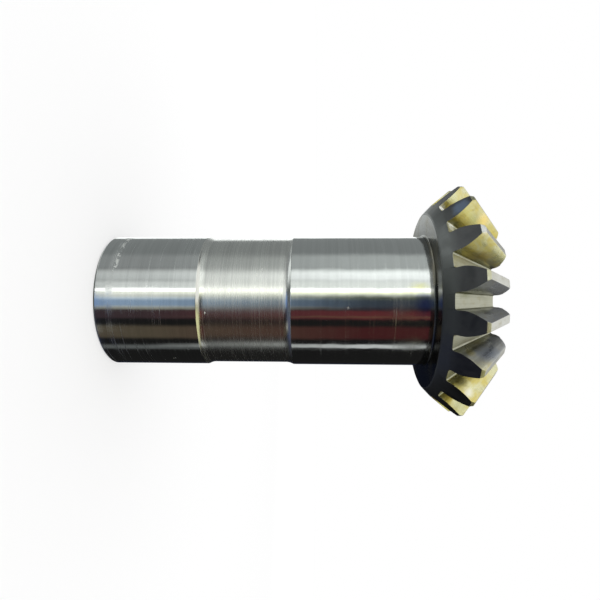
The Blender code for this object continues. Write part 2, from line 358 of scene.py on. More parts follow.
def breakEdges(body, corners):  # clean facets on each tooth, then break its sharp edges
    shape = bmesh.new()
    shape.from_mesh(body.data)
    bmesh.ops.remove_doubles(shape, verts=shape.verts, dist=tidying["mergeDistance"])
    toothSlots = [finishes.index(name) for name in tidying["toothFinishes"]]
    innerRadius = corners["toeRing"].x
    webRadius = corners["webEdge"].x

    def onTooth(face):
        here = faceProfilePoint(face)
        heelSide = here.y < corners["landEnd"].y
        return face.material_index in toothSlots and here.x > (webRadius if heelSide else innerRadius)

    seams = []
    for edge in shape.edges:
        if edge.is_manifold and edge.calc_face_angle(pi) < tidying["flatAngle"]:
            first, second = edge.link_faces
            if first.material_index == second.material_index and onTooth(first) and onTooth(second):
                seams.append(edge)
    bmesh.ops.dissolve_edges(shape, edges=seams, use_verts=True)
    toeEdges = []
    for edge in shape.edges:
        meeting = {finishes[face.material_index] for face in edge.link_faces}
        outside = min(vertex.co.xy.length for vertex in edge.verts) > head["toeRoundingStart"]
        if meeting in ({"toe", "flank"}, {"toe", "land"}) and outside:
            toeEdges.append(edge)
    breakAlong(shape, toeEdges, head["toeRounding"], head["toeRoundingSteps"])
    sharp = []
    boreSide = head["frontRadius"] - tidying["frontMargin"]
    for edge in shape.edges:
        outside = max(vertex.co.xy.length for vertex in edge.verts) > boreSide
        if outside and edge.is_manifold and edge.calc_face_angle(0) > tidying["sharpAngle"]:
            sharp.append(edge)
    breakAlong(shape, sharp, head["edgeBreak"], head["edgeBreakSteps"])
    shape.to_mesh(body.data)
    shape.free()
    body.data.shade_smooth()
    body.data.set_sharp_from_angle(angle=tidying["smoothAngle"])


def makeGear():
    corners = headCorners()
    gear = turnBlank(corners)
    cutOut(gear, [makeSpaceCutter(corners), makeSerrationCutter()])
    breakEdges(gear, corners)
    gear.name = gear.data.name = "bevel_gear_shaft"
    shading = gear.modifiers.new("Weighted normals", "WEIGHTED_NORMAL")
    shading.keep_sharp = True
    print("gear modelled:", len(gear.data.polygons), "faces")
    return gear


def newMaterial(name):
    material = bpy.data.materials.new(name)
    material.use_nodes = True
    return material, material.node_tree, material.node_tree.nodes["Principled BSDF"]


def feed(tree, socket, value):  # a socket takes a link, a colour or a number
    if isinstance(value, bpy.types.NodeSocket):
        tree.links.new(value, socket)
    elif isinstance(value, tuple) and socket.type == "RGBA":
        socket.default_value = (*value, 1)
    else:
        socket.default_value = value


def addNode(tree, kind, settings=None, inputs=None):
    node = tree.nodes.new(kind)
    for key, value in (settings or {}).items():
        setattr(node, key, value)
    for key, value in (inputs or {}).items():
        feed(tree, node.inputs[key], value)
    return node


def calc(tree, operation, first, second=0.0, third=0.0):
    inputs = {0: first, 1: second, 2: third}
    return addNode(tree, "ShaderNodeMath", {"operation": operation}, inputs).outputs[0]


def vectorCalc(tree, operation, first, second=(0, 0, 0)):
    inputs = {0: first, 1: second}
    return addNode(tree, "ShaderNodeVectorMath", {"operation": operation}, inputs).outputs


def ramp(tree, value, start, end, low=0.0, high=1.0):  # smooth step from start to end
    inputs = {"Value": value, "From Min": start, "From Max": end, "To Min": low, "To Max": high}
    return addNode(tree, "ShaderNodeMapRange", {"interpolation_type": "SMOOTHSTEP"}, inputs).outputs[0]


def blend(tree, share, first, second, kind="MIX"):
    settings = {"data_type": "RGBA", "blend_type": kind}
    return addNode(tree, "ShaderNodeMix", settings, {0: share, 6: first, 7: second}).outputs[2]


grainDetail = 3.0  # of fine lines and ragged edges
patchEdge = {"detail": 4.0, "distortion": 0.6}
spotRaggedness = 1.6


def noise(tree, place, scale, detail=2.0, distortion=0.0):
    inputs = {"Vector": place, "Scale": scale, "Detail": detail, "Distortion": distortion}
    return addNode(tree, "ShaderNodeTexNoise", inputs=inputs).outputs[0]


def makeGroup(name, inputs, outputs):  # an empty group, its input node and its output node
    group = bpy.data.node_groups.new(name, "ShaderNodeTree")
    kinds = {"value": "NodeSocketFloat", "vector": "NodeSocketVector", "colour": "NodeSocketColor"}
    for label, kind in inputs.items():
        group.interface.new_socket(label, in_out="INPUT", socket_type=kinds[kind])
    for label, kind in outputs.items():
        group.interface.new_socket(label, in_out="OUTPUT", socket_type=kinds[kind])
    return group, addNode(group, "NodeGroupInput").outputs, addNode(group, "NodeGroupOutput").inputs


def use(tree, group, **values):  # place a group; underscores in the names stand for spaces
    inputs = {name.replace("_", " "): value for name, value in values.items()}
    return addNode(tree, "ShaderNodeGroup", {"node_tree": group}, inputs).outputs


def objectPlace(tree):
    return addNode(tree, "ShaderNodeTexCoord").outputs["Object"]


def splitAxes(tree, place):
    return addNode(tree, "ShaderNodeSeparateXYZ", inputs={0: place}).outputs


def axisDistance(tree, axes):
    squares = calc(tree, "MULTIPLY_ADD", axes[0], axes[0], calc(tree, "MULTIPLY", axes[1], axes[1]))
    return calc(tree, "SQRT", squares)


def makeTurnedLines():  # fine lines round the axis, along the shaft or across an end face
    group, given, result = makeGroup("turned lines", {
        "Lines": "value", "Breaks": "value", "Across Face": "value", "Shift": "value"}, {"Streaks": "value"})
    axes = splitAxes(group, objectPlace(group))
    along = calc(group, "MULTIPLY", axes[2], calc(group, "SUBTRACT", 1.0, given["Across Face"]))
    along = calc(group, "MULTIPLY_ADD", axisDistance(group, axes), given["Across Face"], along)
    stretched = addNode(group, "ShaderNodeCombineXYZ", inputs={
        0: calc(group, "MULTIPLY", axes[0], given["Breaks"]),
        1: calc(group, "MULTIPLY_ADD", axes[1], given["Breaks"], given["Shift"]),
        2: calc(group, "MULTIPLY", along, given["Lines"])}).outputs[0]
    feed(group, result["Streaks"], noise(group, stretched, 1.0, detail=grainDetail))
    return group


def makeToothGrain():  # cutter marks that run along the teeth towards the pitch cone's apex
    group, given, result = makeGroup("tooth grain", {
        "Apex Height": "value", "Lines": "value"}, {"Grain": "value"})
    apex = addNode(group, "ShaderNodeCombineXYZ", inputs={2: given["Apex Height"]}).outputs[0]
    offset = vectorCalc(group, "SUBTRACT", objectPlace(group), apex)[0]
    direction = vectorCalc(group, "NORMALIZE", offset)[0]
    feed(group, result["Grain"], noise(group, direction, given["Lines"], detail=grainDetail))
    return group


def makePatches():  # soft-edged patches of stain
    group, given, result = makeGroup("patches", {
        "Size": "value", "Cover": "value", "Softness": "value", "Shift": "value"}, {"Mask": "value"})
    moved = vectorCalc(group, "ADD", objectPlace(group), given["Shift"])[0]
    scale = calc(group, "DIVIDE", 1.0, given["Size"])
    cloud = noise(group, moved, scale, **patchEdge)
    edge = calc(group, "SUBTRACT", 1.0, given["Cover"])
    low = calc(group, "SUBTRACT", edge, given["Softness"])
    high = calc(group, "ADD", edge, given["Softness"])
    feed(group, result["Mask"], ramp(group, cloud, low, high))
    return group


def makeOverRoot():  # 0 at the bottom of the tooth spaces, 1 at the tips
    group, given, result = makeGroup("over root", {
        "Root Radius": "value", "Root Height": "value", "Root Slope": "value", "Depth": "value"},
        {"Share": "value"})
    axes = splitAxes(group, objectPlace(group))
    above = calc(group, "SUBTRACT", axes[2], given["Root Height"])
    narrowing = calc(group, "MULTIPLY", above, given["Root Slope"])
    rootRadius = calc(group, "SUBTRACT", given["Root Radius"], narrowing)
    height = calc(group, "SUBTRACT", axisDistance(group, axes), rootRadius)
    feed(group, result["Share"], calc(group, "DIVIDE", height, given["Depth"]))
    return group


rubbing = {"samples": 4, "flat": 0.995, "sharp": 0.93, "brokenEdge": (0.35, 0.55)}


def makeEdgeWear():  # 1 along the edges that have rubbed bright
    group, given, result = makeGroup("edge wear", {"Width": "value", "Breaks": "value"}, {"Mask": "value"})
    settings = {"samples": rubbing["samples"]}
    rounded = addNode(group, "ShaderNodeBevel", settings, {"Radius": given["Width"]}).outputs[0]
    true = addNode(group, "ShaderNodeNewGeometry").outputs["Normal"]
    lean = vectorCalc(group, "DOT_PRODUCT", rounded, true)["Value"]
    edge = ramp(group, lean, rubbing["flat"], rubbing["sharp"])
    broken = ramp(group, noise(group, objectPlace(group), given["Breaks"]), *rubbing["brokenEdge"])
    feed(group, result["Mask"], calc(group, "MULTIPLY", edge, broken))
    return group


def makeSpot():  # a ragged mark at one place, harder or softer at its edge
    group, given, result = makeGroup("spot", {
        "Place": "vector", "Size": "vector", "Softness": "value"}, {"Mask": "value"})
    offset = vectorCalc(group, "SUBTRACT", objectPlace(group), given["Place"])[0]
    sized = vectorCalc(group, "DIVIDE", offset, given["Size"])[0]
    length = vectorCalc(group, "LENGTH", sized)["Value"]
    ragged = calc(group, "SUBTRACT", noise(group, sized, spotRaggedness, detail=grainDetail), 0.5)
    length = calc(group, "MULTIPLY_ADD", ragged, given["Softness"], length)
    outer = calc(group, "ADD", 1.0, calc(group, "MULTIPLY", given["Softness"], 0.5))
    inner = calc(group, "SUBTRACT", 1.0, given["Softness"])
    feed(group, result["Mask"], ramp(group, length, outer, inner))
    return group


turnedLines = makeTurnedLines()
toothGrain = makeToothGrain()
patches = makePatches()
overRoot = makeOverRoot()
edgeWear = makeEdgeWear()
spot = makeSpot()


def bumped(tree, surface, *layers):  # each layer: height, strength, distance
    inputs = {}
    for height, strength, distance in layers:
        inputs.update({"Height": height, "Strength": strength, "Distance": distance})
        inputs["Normal"] = addNode(tree, "ShaderNodeBump", inputs=inputs).outputs[0]
    feed(tree, surface.inputs["Normal"], inputs["Normal"])


def feedMetal(tree, surface, colour, roughness):
    feed(tree, surface.inputs["Base Color"], colour)
    feed(tree, surface.inputs["Roughness"], roughness)
    feed(tree, surface.inputs["Metallic"], 1.0)


# Each mark: place and size in mm, softness, colour, cover, added roughness.
def addMarks(tree, marks, colour, roughness):
    for place, size, softness, tint, cover, rough in marks.values():
        mask = use(tree, spot, Place=Vector(place) * mm, Size=Vector(size) * mm, Softness=softness)[0]
        mask = calc(tree, "MULTIPLY", mask, cover)
        colour = blend(tree, mask, colour, tint)
        roughness = calc(tree, "MULTIPLY_ADD", mask, rough, roughness)
    return colour, roughness


groundLooks = {
    "lowerJournal": {
        "light": (0.63, 0.64, 0.63), "dark": (0.57, 0.58, 0.57), "smooth": 0.070, "rough": 0.24,
        "fine": 0.04, "lines": 2600, "breaks": 40, "scratched": (0.70, 0.58),
        "bump": 0.35, "waves": 0.06 * mm,
        "marks": {
            "nick": ((22.8, -12.9, 27.2), (0.5, 0.5, 0.6), 0.3, (0.95, 0.95, 0.92), 1.0, 0.5),
        },
    },
    "relief": {
        "light": (0.70, 0.70, 0.67), "dark": (0.62, 0.62, 0.595), "smooth": 0.225, "rough": 0.29,
        "fine": 0.01, "lines": 2800, "breaks": 22, "scratched": (0.60, 0.54),
        "bump": 0.4, "waves": 0.008 * mm,
        "marks": {
            "nick": ((4.7, -24.9, 41.5), (0.6, 0.6, 0.6), 0.3, (0.95, 0.95, 0.92), 1.0, 0.5),
            "scratch": ((-9.8, -23.4, 60.9), (1.4, 0.7, 0.17), 0.3, (0.95, 0.95, 0.92), 1.0, 0.5),
            "besideIt": ((-11.3, -22.7, 62.7), (1.2, 0.7, 0.17), 0.3, (0.95, 0.95, 0.92), 1.0, 0.5),
        },
    },
    "reliefEnd": {
        "light": (0.70, 0.70, 0.67), "dark": (0.62, 0.62, 0.59), "smooth": 0.20, "rough": 0.35,
        "fine": 0.0, "lines": 2400, "breaks": 60, "scratched": (0.60, 0.45),
        "bump": 0.5, "waves": 0.0,
        "marks": {},
    },
    "upperJournal": {
        "light": (0.63, 0.64, 0.63), "dark": (0.59, 0.60, 0.59), "smooth": 0.065, "rough": 0.20,
        "fine": 0.04, "lines": 2600, "breaks": 30, "scratched": (0.72, 0.60),
        "bump": 0.22, "waves": 0.14 * mm,
        "marks": {
            "nick": ((2.6, -26.1, 94.4), (0.5, 0.5, 0.5), 0.3, (0.95, 0.95, 0.92), 0.6, 0.3),
            "blueTemper": ((1.6, -26.2, 121.8), (4.6, 5.0, 3.6), 0.8, (0.13, 0.16, 0.48), 0.8, 0.0),
            "strawTemper": ((-5.2, -25.7, 120.0), (1.6, 3.0, 3.6), 1.0, (0.64, 0.63, 0.36), 0.8, 0.05),
            "smear": ((3.6, -25.8, 113.5), (4.4, 5.0, 7.0), 1.0, (0.48, 0.44, 0.46), 0.7, 0.12),
            "edgeSmear": ((16.6, -20.3, 118.5), (4.0, 4.0, 7.0), 0.9, (0.45, 0.46, 0.45), 0.7, 0.16),
        },
    },
}

grinding = {  # what all the ground stretches share
    "bandWidth": 5,  # in fine lines
    "bandLength": 3,  # in lengths of a fine line
    "bandShift": 7.0,
    "patchSize": 14 * mm,
    "patchCover": 0.5,
    "patchSoftness": 0.25,
    "patchRough": 0.7,
    "scratchEdge": (-0.04, 0.09),
    "shadeEdge": (0.38, 0.62),
    "fineEdge": (0.40, 0.60),
    "waveScale": 90.0,
    "lineDepth": 0.006 * mm,
}

wearRing = {  # bright rubbed dashes on one side, a soft band on most of the rest
    "colour": (0.84, 0.84, 0.81),
    "rough": 0.40,
    "wander": 2.0 * mm,
    "wanderScale": 70.0,
    "dashHeight": 7.4 * mm,
    "dashReach": (1.1 * mm, 0.2 * mm),
    "dashSide": (-7 * mm, -13 * mm),
    "dashScale": 520.0,
    "dashEdge": (0.44, 0.54),
    "bandHeight": 6.3 * mm,
    "bandReach": (2.2 * mm, 0.5 * mm),
    "bandSide": (12 * mm, 6 * mm),
    "bandScale": 160.0,
    "bandWear": (0.35, 0.65, 0.05, 0.40),
}


def rubbedRing(tree, place, axes):
    swing = calc(tree, "SUBTRACT", noise(tree, place, wearRing["wanderScale"]), 0.5)
    height = calc(tree, "SUBTRACT", axes[2], calc(tree, "MULTIPLY", swing, wearRing["wander"]))
    away = calc(tree, "ABSOLUTE", calc(tree, "SUBTRACT", height, wearRing["dashHeight"]))
    flecks = noise(tree, place, wearRing["dashScale"], detail=grainDetail)
    broken = ramp(tree, flecks, *wearRing["dashEdge"])
    dashes = calc(tree, "MULTIPLY", ramp(tree, away, *wearRing["dashReach"]), broken)
    dashes = calc(tree, "MULTIPLY", dashes, ramp(tree, axes[0], *wearRing["dashSide"]))
    away = calc(tree, "ABSOLUTE", calc(tree, "SUBTRACT", height, wearRing["bandHeight"]))
    worn = ramp(tree, noise(tree, place, wearRing["bandScale"]), *wearRing["bandWear"])
    worn = calc(tree, "MULTIPLY", worn, ramp(tree, axes[0], *wearRing["bandSide"]))
    band = calc(tree, "MULTIPLY", ramp(tree, away, *wearRing["bandReach"]), worn)
    return calc(tree, "MAXIMUM", dashes, band)


def makeGroundSteel(name):  # ground and polished round the axis, with rough scratches
    look = groundLooks[name]
    material, tree, surface = newMaterial(name + "Steel")
    place = objectPlace(tree)
    streaks = use(tree, turnedLines, Lines=look["lines"], Breaks=look["breaks"])[0]
    bands = use(tree, turnedLines, Lines=look["lines"] / grinding["bandWidth"],
                Breaks=look["breaks"] / grinding["bandLength"], Shift=grinding["bandShift"])[0]
    worked = use(tree, patches, Size=grinding["patchSize"], Cover=grinding["patchCover"],
                 Softness=grinding["patchSoftness"])[0]
    few, many = look["scratched"]
    start = calc(tree, "MULTIPLY_ADD", calc(tree, "MULTIPLY", worked, bands), 2 * (many - few), few)
    scratch = ramp(tree, calc(tree, "SUBTRACT", streaks, start), *grinding["scratchEdge"])
    shade = calc(tree, "MULTIPLY_ADD", streaks, 0.5, calc(tree, "MULTIPLY", bands, 0.5))
    colour = blend(tree, ramp(tree, shade, *grinding["shadeEdge"]), look["dark"], look["light"])
    roughness = calc(tree, "MULTIPLY_ADD", scratch, look["rough"] - look["smooth"], look["smooth"])
    patchwork = calc(tree, "MULTIPLY", worked, grinding["patchRough"])
    finer = calc(tree, "ADD", ramp(tree, streaks, *grinding["fineEdge"]), patchwork)
    roughness = calc(tree, "MULTIPLY_ADD", finer, look["fine"], roughness)
    if name == "lowerJournal":
        ring = rubbedRing(tree, place, splitAxes(tree, place))
        colour = blend(tree, ring, colour, wearRing["colour"])
        roughness = calc(tree, "MULTIPLY_ADD", ring, wearRing["rough"], roughness)
    colour, roughness = addMarks(tree, look["marks"], colour, roughness)
    feedMetal(tree, surface, colour, roughness)
    waves = noise(tree, place, grinding["waveScale"])
    bumped(tree, surface, (waves, 1.0, look["waves"]), (streaks, look["bump"], grinding["lineDepth"]))
    return material


facedLooks = {
    "shoulder": {
        "light": (0.16, 0.165, 0.16), "dark": (0.115, 0.12, 0.115), "rough": 0.21, "lines": 1800,
        "glance": 0.7,  # its shine at a low angle is dulled by this
    },
    "front": {
        "light": (0.52, 0.51, 0.48), "dark": (0.38, 0.37, 0.34), "rough": 0.34, "lines": 1500,
        "glance": 1.0,
    },
    "shaftEnd": {
        "light": (0.58, 0.58, 0.56), "dark": (0.42, 0.42, 0.41), "rough": 0.30, "lines": 1600,
        "glance": 1.0,
    },
    "bore": {
        "light": (0.36, 0.35, 0.33), "dark": (0.22, 0.21, 0.19), "rough": 0.42, "lines": 1200,
        "glance": 1.0,
    },
}

facing = {  # what all the faced stretches share
    "breaks": 60.0,
    "shadeEdge": (0.35, 0.65),
    "stain": (0.34, 0.29, 0.18),
    "stainShare": 0.35,
    "stainSize": 12 * mm,
    "stainCover": 0.45,
    "stainSoftness": 0.12,
    "stainShift": 0.3,
    "stainRough": 0.12,
    "bump": 0.8,
    "lineDepth": 0.008 * mm,
}


def makeFacedSteel(name):  # turned end faces with rings, and the bore
    look = facedLooks[name]
    material, tree, surface = newMaterial(name + "Steel")
    across = 0.0 if name == "bore" else 1.0
    streaks = use(tree, turnedLines, Lines=look["lines"], Breaks=facing["breaks"], Across_Face=across)[0]
    stain = use(tree, patches, Size=facing["stainSize"], Cover=facing["stainCover"],
                Softness=facing["stainSoftness"], Shift=facing["stainShift"])[0]
    colour = blend(tree, ramp(tree, streaks, *facing["shadeEdge"]), look["dark"], look["light"])
    colour = blend(tree, calc(tree, "MULTIPLY", stain, facing["stainShare"]), colour, facing["stain"])
    roughness = calc(tree, "MULTIPLY_ADD", stain, facing["stainRough"], look["rough"])
    feedMetal(tree, surface, colour, roughness)
    feed(tree, surface.inputs["Specular Tint"], (look["glance"],) * 3)
    bumped(tree, surface, (streaks, facing["bump"], facing["lineDepth"]))
    return material


blackLook = {
    "light": (0.135, 0.135, 0.135),
    "dark": (0.090, 0.090, 0.092),
    "web": (0.170, 0.175, 0.170),
    "webRadius": 38 * mm,
    "heelRadius": 41 * mm,
    "rough": 0.42,
    "mottleSize": 7 * mm,
    "mottleCover": 0.5,
    "mottleSoftness": 0.18,
    "mottleShift": 1.1,
    "mottleRough": 0.10,
    "worn": (0.42, 0.41, 0.38),
    "wornShare": 0.5,
    "wornWidth": 0.35 * mm,
    "wornBreaks": 400.0,
    "lines": 1500.0,
    "breaks": 70.0,
    "bump": 0.5,
    "lineDepth": 0.01 * mm,
    "marks": {
        "blueTemper": ((-34.0, -27.0, 134.2), (4.0, 4.0, 3.2), 0.6, (0.26, 0.33, 0.46), 0.85, 0.0),
    },
}


def makeBlackSteel():  # the web and the heels of the teeth, left dark
    look = blackLook
    material, tree, surface = newMaterial("blackSteel")
    mottle = use(tree, patches, Size=look["mottleSize"], Cover=look["mottleCover"],
                 Softness=look["mottleSoftness"], Shift=look["mottleShift"])[0]
    streaks = use(tree, turnedLines, Lines=look["lines"], Breaks=look["breaks"])[0]
    worn = use(tree, edgeWear, Width=look["wornWidth"], Breaks=look["wornBreaks"])[0]
    radius = axisDistance(tree, splitAxes(tree, objectPlace(tree)))
    colour = blend(tree, mottle, look["dark"], look["light"])
    colour = blend(tree, ramp(tree, radius, look["heelRadius"], look["webRadius"]), colour, look["web"])
    colour = blend(tree, calc(tree, "MULTIPLY", worn, look["wornShare"]), colour, look["worn"])
    roughness = calc(tree, "MULTIPLY_ADD", mottle, look["mottleRough"], look["rough"])
    colour, roughness = addMarks(tree, look["marks"], colour, roughness)
    feedMetal(tree, surface, colour, roughness)
    bumped(tree, surface, (streaks, look["bump"], look["lineDepth"]))
    return material


cutLooks = {
    # root: the colour towards the bottom of the tooth spaces; the flank's dark root is old oil collected
    # there and painted shade
    "flank": {"pale": (0.70, 0.69, 0.42), "gold": (0.68, 0.58, 0.17), "grey": (0.37, 0.39, 0.42),
              "root": (0.13, 0.125, 0.05), "rough": 0.26, "greyShare": 0.92},
    "slot": {"pale": (0.48, 0.51, 0.42), "gold": (0.46, 0.47, 0.35), "grey": (0.35, 0.37, 0.31),
             "root": (0.42, 0.42, 0.32), "rough": 0.36, "greyShare": 0.5},
    "crown": {"pale": (0.66, 0.66, 0.46), "gold": (0.58, 0.56, 0.30), "grey": (0.60, 0.60, 0.54),
              "root": (0.5, 0.5, 0.4), "rough": 0.42, "greyShare": 0.5},
    "land": {"pale": (0.60, 0.60, 0.52), "gold": (0.58, 0.57, 0.46), "grey": (0.57, 0.58, 0.55),
             "root": (0.6, 0.6, 0.6), "rough": 0.28, "greyShare": 0.6},
    "toe": {"pale": (0.52, 0.52, 0.46), "gold": (0.48, 0.46, 0.32), "grey": (0.46, 0.46, 0.45),
            "root": (0.36, 0.35, 0.28), "rough": 0.36, "greyShare": 0.5},
}

cutting = {  # what all the cut stretches share
    "spaceDepth": 8.0 * mm,
    "greyCentre": 5 * mm,  # the teeth near this X are greyer than the rest
    "greyReach": (21 * mm, 12 * mm),
    "cloudSize": 5 * mm,
    "cloudCover": 0.5,
    "cloudSoftness": 0.16,
    "cloudShift": 0.7,
    "cloudRough": 0.12,
    # how far the root colour reaches up the tooth spaces: collected oil and painted shade
    "rootWander": 0.25,
    "rootReach": (0.62, 0.18),
    "rootOilAndShadeShare": 0.8,
    "speck": (0.30, 0.25, 0.10),
    "speckShare": 0.32,
    "speckSize": 1.6 * mm,
    "speckCover": 0.38,
    "speckSoftness": 0.10,
    "speckShift": 2.0,
    "grain": (0.82, 0.82, 0.74),
    "grainShare": (0.3, 0.7, 0.0, 0.16),
    "grainLines": 180.0,
    "grainBump": 0.6,
    "grainDepth": 0.02 * mm,
}

cutMarks = {
    "brownStain": ((15.6, -32.4, 139.4), (3.2, 4.4, 3.8), 0.6, (0.19, 0.15, 0.06), 0.75, 0.05),
    "greyStain": ((3.4, -36.9, 140.1), (2.2, 2.4, 2.2), 0.8, (0.20, 0.21, 0.20), 0.6, 0.0),
    "nick": ((-3.3, -37.8, 137.9), (0.5, 0.5, 0.5), 0.3, (0.95, 0.95, 0.85), 1.0, 0.3),
    # a bright gold spot on an upper flank: its oil tint, with a painted highlight
    "goldTintWithPaintedHighlight": ((-29.0, -25.0, 142.8), (2.6, 2.6, 2.8), 0.8, (1.0, 0.78, 0.30), 0.8, 0.0),
    "rootStain": ((-15.5, -32.1, 139.0), (1.7, 5.0, 5.0), 0.8, (0.34, 0.25, 0.10), 0.6, 0.1),
    # painted highlight: a near-white spot near a lower tooth's tip
    "paintedFlankHighlight": ((32.3, -28.3, 136.8), (1.8, 1.8, 1.8), 0.8, (0.95, 0.95, 0.85), 0.8, 0.1),
    "darkCorner": ((28.7, -26.8, 134.4), (2.0, 2.0, 2.2), 0.7, (0.18, 0.16, 0.09), 0.7, 0.1),
    "dullPatch": ((-28.8, -26.0, 139.2), (2.8, 2.8, 2.8), 1.0, (0.44, 0.43, 0.27), 0.6, 0.0),
    "greyPatch": ((17.5, -33.8, 141.5), (4.0, 4.5, 5.5), 0.8, (0.22, 0.25, 0.31), 0.75, 0.0),
    "goldRoot": ((17.4, -35.8, 135.2), (1.7, 2.2, 1.8), 0.7, (0.52, 0.44, 0.15), 0.6, 0.0),
    "oliveRoot": ((-3.6, -37.0, 134.6), (2.8, 3.4, 3.6), 0.9, (0.16, 0.17, 0.06), 0.7, 0.0),
    # painted highlights: near-white spots at the heel ends of two tooth spaces' roots
    "paintedSpaceEndHighlight": ((-26.3, -26.8, 131.0), (1.9, 1.9, 1.6), 0.5, (0.97, 0.97, 0.93), 0.9, 0.1),
    "otherPaintedSpaceEndHighlight": ((-35.2, -15.4, 130.5), (2.2, 2.4, 1.6), 0.5, (0.97, 0.97, 0.95), 0.9, 0.1),
    # painted highlight: a white spot on the heel crown of an upper tooth
    "paintedCrownHighlight": ((-24.4, -38.8, 138.5), (2.6, 2.6, 1.4), 0.5, (1.0, 1.0, 1.0), 0.9, 0.0),
}


def makeCutSteel(name, corners):  # cut on the teeth, straw-coloured by old oil; darker at the roots with oil and painted shade, and with painted highlights among its marks
    look = cutLooks[name]
    material, tree, surface = newMaterial(name + "Steel")
    root = corners["heelRoot"]
    apexHeight = corners["heelPitch"].y + pitchRadius / tan(pitchAngle)
    height = use(tree, overRoot, Root_Radius=root.x, Root_Height=root.y,
                 Root_Slope=tan(teeth["rootAngle"]), Depth=cutting["spaceDepth"])[0]
    grain = use(tree, toothGrain, Apex_Height=apexHeight, Lines=cutting["grainLines"])[0]
    cloud = use(tree, patches, Size=cutting["cloudSize"], Cover=cutting["cloudCover"],
                Softness=cutting["cloudSoftness"], Shift=cutting["cloudShift"])[0]
    specks = use(tree, patches, Size=cutting["speckSize"], Cover=cutting["speckCover"],
                 Softness=cutting["speckSoftness"], Shift=cutting["speckShift"])[0]
    axes = splitAxes(tree, objectPlace(tree))
    across = calc(tree, "ABSOLUTE", calc(tree, "SUBTRACT", axes[0], cutting["greyCentre"]))
    grey = calc(tree, "MULTIPLY", ramp(tree, across, *cutting["greyReach"]), look["greyShare"])
    # towards the roots the colour turns to the root colour: collected oil, and painted shade in the recess
    low = ramp(tree, calc(tree, "MULTIPLY_ADD", cloud, cutting["rootWander"], height), *cutting["rootReach"])
    colour = blend(tree, cloud, look["pale"], look["gold"])
    colour = blend(tree, grey, colour, look["grey"])
    colour = blend(tree, calc(tree, "MULTIPLY", low, cutting["rootOilAndShadeShare"]), colour, look["root"])
    colour = blend(tree, calc(tree, "MULTIPLY", specks, cutting["speckShare"]), colour, cutting["speck"])
    colour = blend(tree, ramp(tree, grain, *cutting["grainShare"]), colour, cutting["grain"])
    roughness = calc(tree, "MULTIPLY_ADD", cloud, cutting["cloudRough"], look["rough"])
    if name != "toe":
        colour, roughness = addMarks(tree, cutMarks, colour, roughness)
    feedMetal(tree, surface, colour, roughness)
    bumped(tree, surface, (grain, cutting["grainBump"], cutting["grainDepth"]))
    return material


def makeFinish(name, corners):
    if name in groundLooks:
        return makeGroundSteel(name)
    if name in facedLooks:
        return makeFacedSteel(name)
    if name in cutLooks:
        return makeCutSteel(name, corners)
    return makeBlackSteel()


camera = {
    "height": 84.6 * mm,
    "distance": 204.9 * mm,
    "lens": 29.557,
    "sensorWidth": 36.0,
    "clipStart": 5 * mm,
    "yaw": radians(2.44),
    "pitch": radians(0.07),
    "roll": radians(0.20),
}


def placeCamera():  # it looks along +Y with the gear's axis running to the picture's right
    data = bpy.data.cameras.new("photo_camera")
    data.lens = camera["lens"]
    data.sensor_width = camera["sensorWidth"]
    data.clip_start = camera["clipStart"]
    seen = bpy.data.objects.new("photo_camera", data)
    bpy.context.scene.collection.objects.link(seen)
    lying = Matrix(((0, -1, 0), (0, 0, -1), (1, 0, 0)))
    turned = lying @ Matrix.Rotation(camera["yaw"], 3, "Y") @ Matrix.Rotation(camera["pitch"], 3, "X")
    turned = turned @ Matrix.Rotation(camera["roll"], 3, "Z")
    seen.matrix_world = Matrix.Translation((0, -camera["distance"], camera["height"])) @ turned.to_4x4()
    bpy.context.scene.camera = seen


